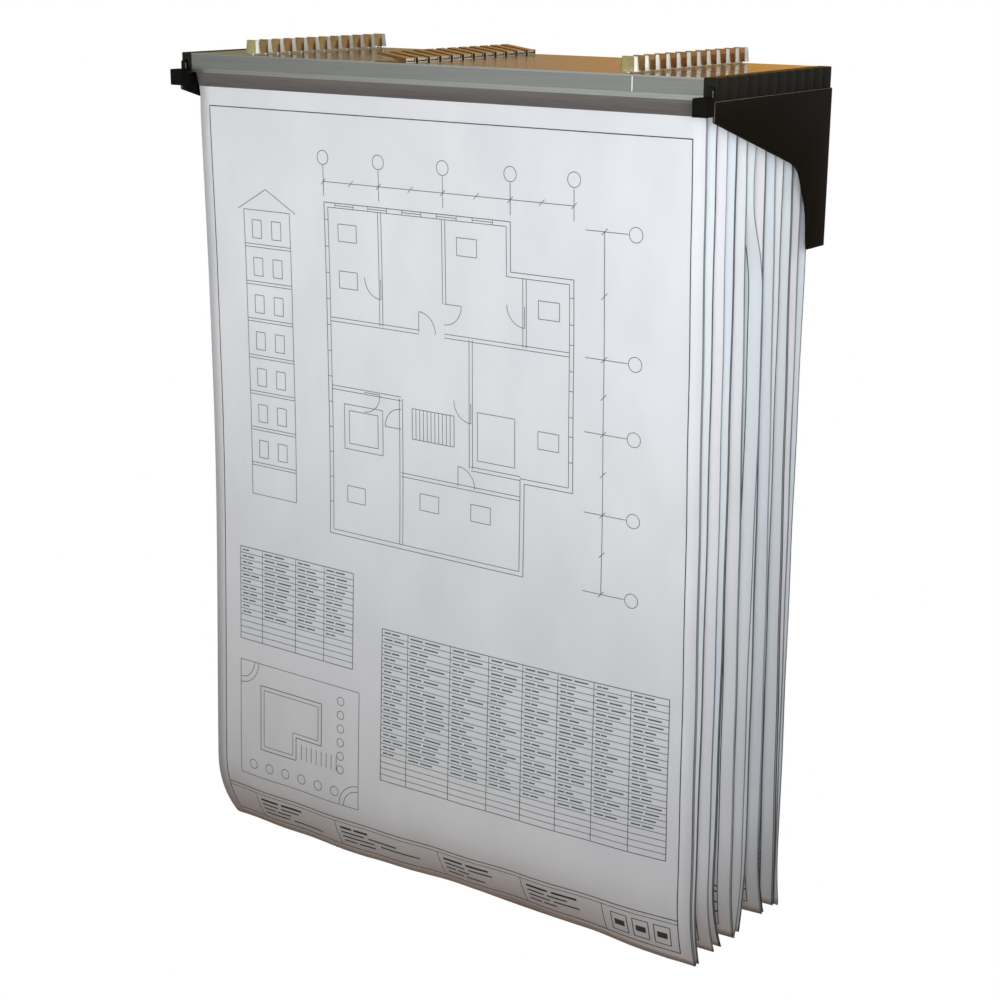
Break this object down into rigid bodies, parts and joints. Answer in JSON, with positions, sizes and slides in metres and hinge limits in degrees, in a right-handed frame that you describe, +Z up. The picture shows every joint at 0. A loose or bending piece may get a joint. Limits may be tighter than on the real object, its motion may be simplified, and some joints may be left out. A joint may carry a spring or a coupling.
{
  "type": "plan hanging rack",
  "caption": "Wall rack of two black steel arms carrying a row of aluminium hanging clamps with thumb screws, each gripping a set of large plan sheets.",
  "frame": {"origin": "centre of the four wall screw holes, in the plane of the wall", "axes": "+Z up, +Y into the wall so that the front faces -Y, +X to the right for someone facing the rack"},
  "size_m": [0.799, 0.3018, 1.1136],
  "materials": {
    "black_steel": "black powder coat, satin",
    "black_plastic": "fine moulded grain",
    "bumper": "matt, slightly soft",
    "clamp_aluminium": "satin anodised extrusion",
    "jaw_aluminium": "mill finish",
    "knob_metal": "polished warm plated casting",
    "handle_metal": "satin warm plated strip",
    "screw_chrome": "bright plated",
    "label_card": "grey insert strip",
    "sheet_paper": "uncoated plotter bond with fine grey linework"
  },
  "bodies": {
    "wall_arms": {"arm_left": "black_steel", "arm_right": "black_steel", "front_blocks": "bumper"},
    "clamp_01": {"clamp_01_bar": "clamp_aluminium", "clamp_01_label_strips": "label_card", "clamp_01_cap_left": "black_plastic", "clamp_01_cap_right": "black_plastic", "clamp_01_handle_base": "handle_metal", "clamp_01_sheets": "sheet_paper"},
    "clamp_01_jaw": {"clamp_01_jaw": "jaw_aluminium"},
    "clamp_01_handle": {"clamp_01_handle": "handle_metal"},
    "clamp_01_thumb_left": {"clamp_01_knob_left": "knob_metal", "clamp_01_screw_left": "screw_chrome"},
    "clamp_01_thumb_right": {"clamp_01_knob_right": "knob_metal", "clamp_01_screw_right": "screw_chrome"},
    "clamp_02": {"clamp_02_frame": "clamp_aluminium", "clamp_02_sheets": "sheet_paper"},
    "clamp_02_thumb_left": {"clamp_02_knob_left": "knob_metal"},
    "clamp_02_thumb_right": {"clamp_02_knob_right": "knob_metal"},
    "clamp_03": {"clamp_03_frame": "clamp_aluminium", "clamp_03_sheets": "sheet_paper"},
    "clamp_03_thumb_left": {"clamp_03_knob_left": "knob_metal"},
    "clamp_03_thumb_right": {"clamp_03_knob_right": "knob_metal"},
    "clamp_04": {"clamp_04_frame": "clamp_aluminium", "clamp_04_sheets": "sheet_paper"},
    "clamp_04_thumb_left": {"clamp_04_knob_left": "knob_metal"},
    "clamp_04_thumb_right": {"clamp_04_knob_right": "knob_metal"},
    "clamp_05": {"clamp_05_frame": "clamp_aluminium", "clamp_05_sheets": "sheet_paper"},
    "clamp_05_thumb_left": {"clamp_05_knob_left": "knob_metal"},
    "clamp_05_thumb_right": {"clamp_05_knob_right": "knob_metal"},
    "clamp_06": {"clamp_06_frame": "clamp_aluminium", "clamp_06_sheets": "sheet_paper"},
    "clamp_06_thumb_left": {"clamp_06_knob_left": "knob_metal"},
    "clamp_06_thumb_right": {"clamp_06_knob_right": "knob_metal"},
    "clamp_07": {"clamp_07_frame": "clamp_aluminium", "clamp_07_sheets": "sheet_paper"},
    "clamp_07_thumb_left": {"clamp_07_knob_left": "knob_metal"},
    "clamp_07_thumb_right": {"clamp_07_knob_right": "knob_metal"},
    "clamp_08": {"clamp_08_frame": "clamp_aluminium", "clamp_08_sheets": "sheet_paper"},
    "clamp_08_thumb_left": {"clamp_08_knob_left": "knob_metal"},
    "clamp_08_thumb_right": {"clamp_08_knob_right": "knob_metal"},
    "clamp_09": {"clamp_09_frame": "clamp_aluminium", "clamp_09_sheets": "sheet_paper"},
    "clamp_09_thumb_left": {"clamp_09_knob_left": "knob_metal"},
    "clamp_09_thumb_right": {"clamp_09_knob_right": "knob_metal"},
    "clamp_10": {"clamp_10_frame": "clamp_aluminium", "clamp_10_sheets": "sheet_paper"},
    "clamp_10_thumb_left": {"clamp_10_knob_left": "knob_metal"},
    "clamp_10_thumb_right": {"clamp_10_knob_right": "knob_metal"},
    "clamp_11": {"clamp_11_frame": "clamp_aluminium", "clamp_11_sheets": "sheet_paper"},
    "clamp_11_thumb_left": {"clamp_11_knob_left": "knob_metal"},
    "clamp_11_thumb_right": {"clamp_11_knob_right": "knob_metal"},
    "clamp_12": {"clamp_12_frame": "clamp_aluminium", "clamp_12_sheets": "sheet_paper"},
    "clamp_12_thumb_left": {"clamp_12_knob_left": "knob_metal"},
    "clamp_12_thumb_right": {"clamp_12_knob_right": "knob_metal"}
  },
  "joints": [
    {"name": "clamp_01_lift", "type": "slide", "parent": "wall_arms", "child": "clamp_01", "axis": [0, 0, 1], "range_m": [0, 0.06]},
    {"name": "clamp_01_turn_left", "type": "hinge", "parent": "clamp_01", "child": "clamp_01_thumb_left", "pos_m": [-0.282, -0.2686, 0.115], "axis": [0, 0, 1], "range_deg": [0, 1080]},
    {"name": "clamp_01_turn_right", "type": "hinge", "parent": "clamp_01", "child": "clamp_01_thumb_right", "pos_m": [0.282, -0.2686, 0.115], "axis": [0, 0, 1], "range_deg": [0, 1080]},
    {"name": "clamp_02_lift", "type": "slide", "parent": "wall_arms", "child": "clamp_02", "axis": [0, 0, 1], "range_m": [0, 0.06]},
    {"name": "clamp_02_turn_left", "type": "hinge", "parent": "clamp_02", "child": "clamp_02_thumb_left", "pos_m": [-0.282, -0.2455, 0.115], "axis": [0, 0, 1], "range_deg": [0, 1080]},
    {"name": "clamp_02_turn_right", "type": "hinge", "parent": "clamp_02", "child": "clamp_02_thumb_right", "pos_m": [0.282, -0.2455, 0.115], "axis": [0, 0, 1], "range_deg": [0, 1080]},
    {"name": "clamp_03_lift", "type": "slide", "parent": "wall_arms", "child": "clamp_03", "axis": [0, 0, 1], "range_m": [0, 0.06]},
    {"name": "clamp_03_turn_left", "type": "hinge", "parent": "clamp_03", "child": "clamp_03_thumb_left", "pos_m": [-0.282, -0.2224, 0.115], "axis": [0, 0, 1], "range_deg": [0, 1080]},
    {"name": "clamp_03_turn_right", "type": "hinge", "parent": "clamp_03", "child": "clamp_03_thumb_right", "pos_m": [0.282, -0.2224, 0.115], "axis": [0, 0, 1], "range_deg": [0, 1080]},
    {"name": "clamp_04_lift", "type": "slide", "parent": "wall_arms", "child": "clamp_04", "axis": [0, 0, 1], "range_m": [0, 0.06]},
    {"name": "clamp_04_turn_left", "type": "hinge", "parent": "clamp_04", "child": "clamp_04_thumb_left", "pos_m": [-0.282, -0.1993, 0.115], "axis": [0, 0, 1], "range_deg": [0, 1080]},
    {"name": "clamp_04_turn_right", "type": "hinge", "parent": "clamp_04", "child": "clamp_04_thumb_right", "pos_m": [0.282, -0.1993, 0.115], "axis": [0, 0, 1], "range_deg": [0, 1080]},
    {"name": "clamp_05_lift", "type": "slide", "parent": "wall_arms", "child": "clamp_05", "axis": [0, 0, 1], "range_m": [0, 0.06]},
    {"name": "clamp_05_turn_left", "type": "hinge", "parent": "clamp_05", "child": "clamp_05_thumb_left", "pos_m": [-0.282, -0.1762, 0.115], "axis": [0, 0, 1], "range_deg": [0, 1080]},
    {"name": "clamp_05_turn_right", "type": "hinge", "parent": "clamp_05", "child": "clamp_05_thumb_right", "pos_m": [0.282, -0.1762, 0.115], "axis": [0, 0, 1], "range_deg": [0, 1080]},
    {"name": "clamp_06_lift", "type": "slide", "parent": "wall_arms", "child": "clamp_06", "axis": [0, 0, 1], "range_m": [0, 0.06]},
    {"name": "clamp_06_turn_left", "type": "hinge", "parent": "clamp_06", "child": "clamp_06_thumb_left", "pos_m": [-0.282, -0.1531, 0.115], "axis": [0, 0, 1], "range_deg": [0, 1080]},
    {"name": "clamp_06_turn_right", "type": "hinge", "parent": "clamp_06", "child": "clamp_06_thumb_right", "pos_m": [0.282, -0.1531, 0.115], "axis": [0, 0, 1], "range_deg": [0, 1080]},
    {"name": "clamp_07_lift", "type": "slide", "parent": "wall_arms", "child": "clamp_07", "axis": [0, 0, 1], "range_m": [0, 0.06]},
    {"name": "clamp_07_turn_left", "type": "hinge", "parent": "clamp_07", "child": "clamp_07_thumb_left", "pos_m": [-0.282, -0.13, 0.115], "axis": [0, 0, 1], "range_deg": [0, 1080]},
    {"name": "clamp_07_turn_right", "type": "hinge", "parent": "clamp_07", "child": "clamp_07_thumb_right", "pos_m": [0.282, -0.13, 0.115], "axis": [0, 0, 1], "range_deg": [0, 1080]},
    {"name": "clamp_08_lift", "type": "slide", "parent": "wall_arms", "child": "clamp_08", "axis": [0, 0, 1], "range_m": [0, 0.06]},
    {"name": "clamp_08_turn_left", "type": "hinge", "parent": "clamp_08", "child": "clamp_08_thumb_left", "pos_m": [-0.282, -0.1069, 0.115], "axis": [0, 0, 1], "range_deg": [0, 1080]},
    {"name": "clamp_08_turn_right", "type": "hinge", "parent": "clamp_08", "child": "clamp_08_thumb_right", "pos_m": [0.282, -0.1069, 0.115], "axis": [0, 0, 1], "range_deg": [0, 1080]},
    {"name": "clamp_09_lift", "type": "slide", "parent": "wall_arms", "child": "clamp_09", "axis": [0, 0, 1], "range_m": [0, 0.06]},
    {"name": "clamp_09_turn_left", "type": "hinge", "parent": "clamp_09", "child": "clamp_09_thumb_left", "pos_m": [-0.282, -0.0838, 0.115], "axis": [0, 0, 1], "range_deg": [0, 1080]},
    {"name": "clamp_09_turn_right", "type": "hinge", "parent": "clamp_09", "child": "clamp_09_thumb_right", "pos_m": [0.282, -0.0838, 0.115], "axis": [0, 0, 1], "range_deg": [0, 1080]},
    {"name": "clamp_10_lift", "type": "slide", "parent": "wall_arms", "child": "clamp_10", "axis": [0, 0, 1], "range_m": [0, 0.06]},
    {"name": "clamp_10_turn_left", "type": "hinge", "parent": "clamp_10", "child": "clamp_10_thumb_left", "pos_m": [-0.282, -0.0607, 0.115], "axis": [0, 0, 1], "range_deg": [0, 1080]},
    {"name": "clamp_10_turn_right", "type": "hinge", "parent": "clamp_10", "child": "clamp_10_thumb_right", "pos_m": [0.282, -0.0607, 0.115], "axis": [0, 0, 1], "range_deg": [0, 1080]},
    {"name": "clamp_11_lift", "type": "slide", "parent": "wall_arms", "child": "clamp_11", "axis": [0, 0, 1], "range_m": [0, 0.06]},
    {"name": "clamp_11_turn_left", "type": "hinge", "parent": "clamp_11", "child": "clamp_11_thumb_left", "pos_m": [-0.282, -0.0376, 0.115], "axis": [0, 0, 1], "range_deg": [0, 1080]},
    {"name": "clamp_11_turn_right", "type": "hinge", "parent": "clamp_11", "child": "clamp_11_thumb_right", "pos_m": [0.282, -0.0376, 0.115], "axis": [0, 0, 1], "range_deg": [0, 1080]},
    {"name": "clamp_12_lift", "type": "slide", "parent": "wall_arms", "child": "clamp_12", "axis": [0, 0, 1], "range_m": [0, 0.06]},
    {"name": "clamp_12_turn_left", "type": "hinge", "parent": "clamp_12", "child": "clamp_12_thumb_left", "pos_m": [-0.282, -0.0145, 0.115], "axis": [0, 0, 1], "range_deg": [0, 1080]},
    {"name": "clamp_12_turn_right", "type": "hinge", "parent": "clamp_12", "child": "clamp_12_thumb_right", "pos_m": [0.282, -0.0145, 0.115], "axis": [0, 0, 1], "range_deg": [0, 1080]},
    {"name": "clamp_01_jaw_slide", "type": "slide", "parent": "clamp_01", "child": "clamp_01_jaw", "axis": [0, 0, -1], "range_m": [0, 0.0024]},
    {"name": "clamp_01_handle_fold", "type": "hinge", "parent": "clamp_01", "child": "clamp_01_handle", "pos_m": [-0.029, -0.2686, 0.1187], "axis": [0, 1, 0], "range_deg": [0, 90]}
  ],
  "couplings": [
    {"joint": "clamp_01_turn_left", "follows": "clamp_01_jaw_slide", "rad_per_m": 7846},
    {"joint": "clamp_01_turn_right", "follows": "clamp_01_jaw_slide", "rad_per_m": 7846}
  ]
}
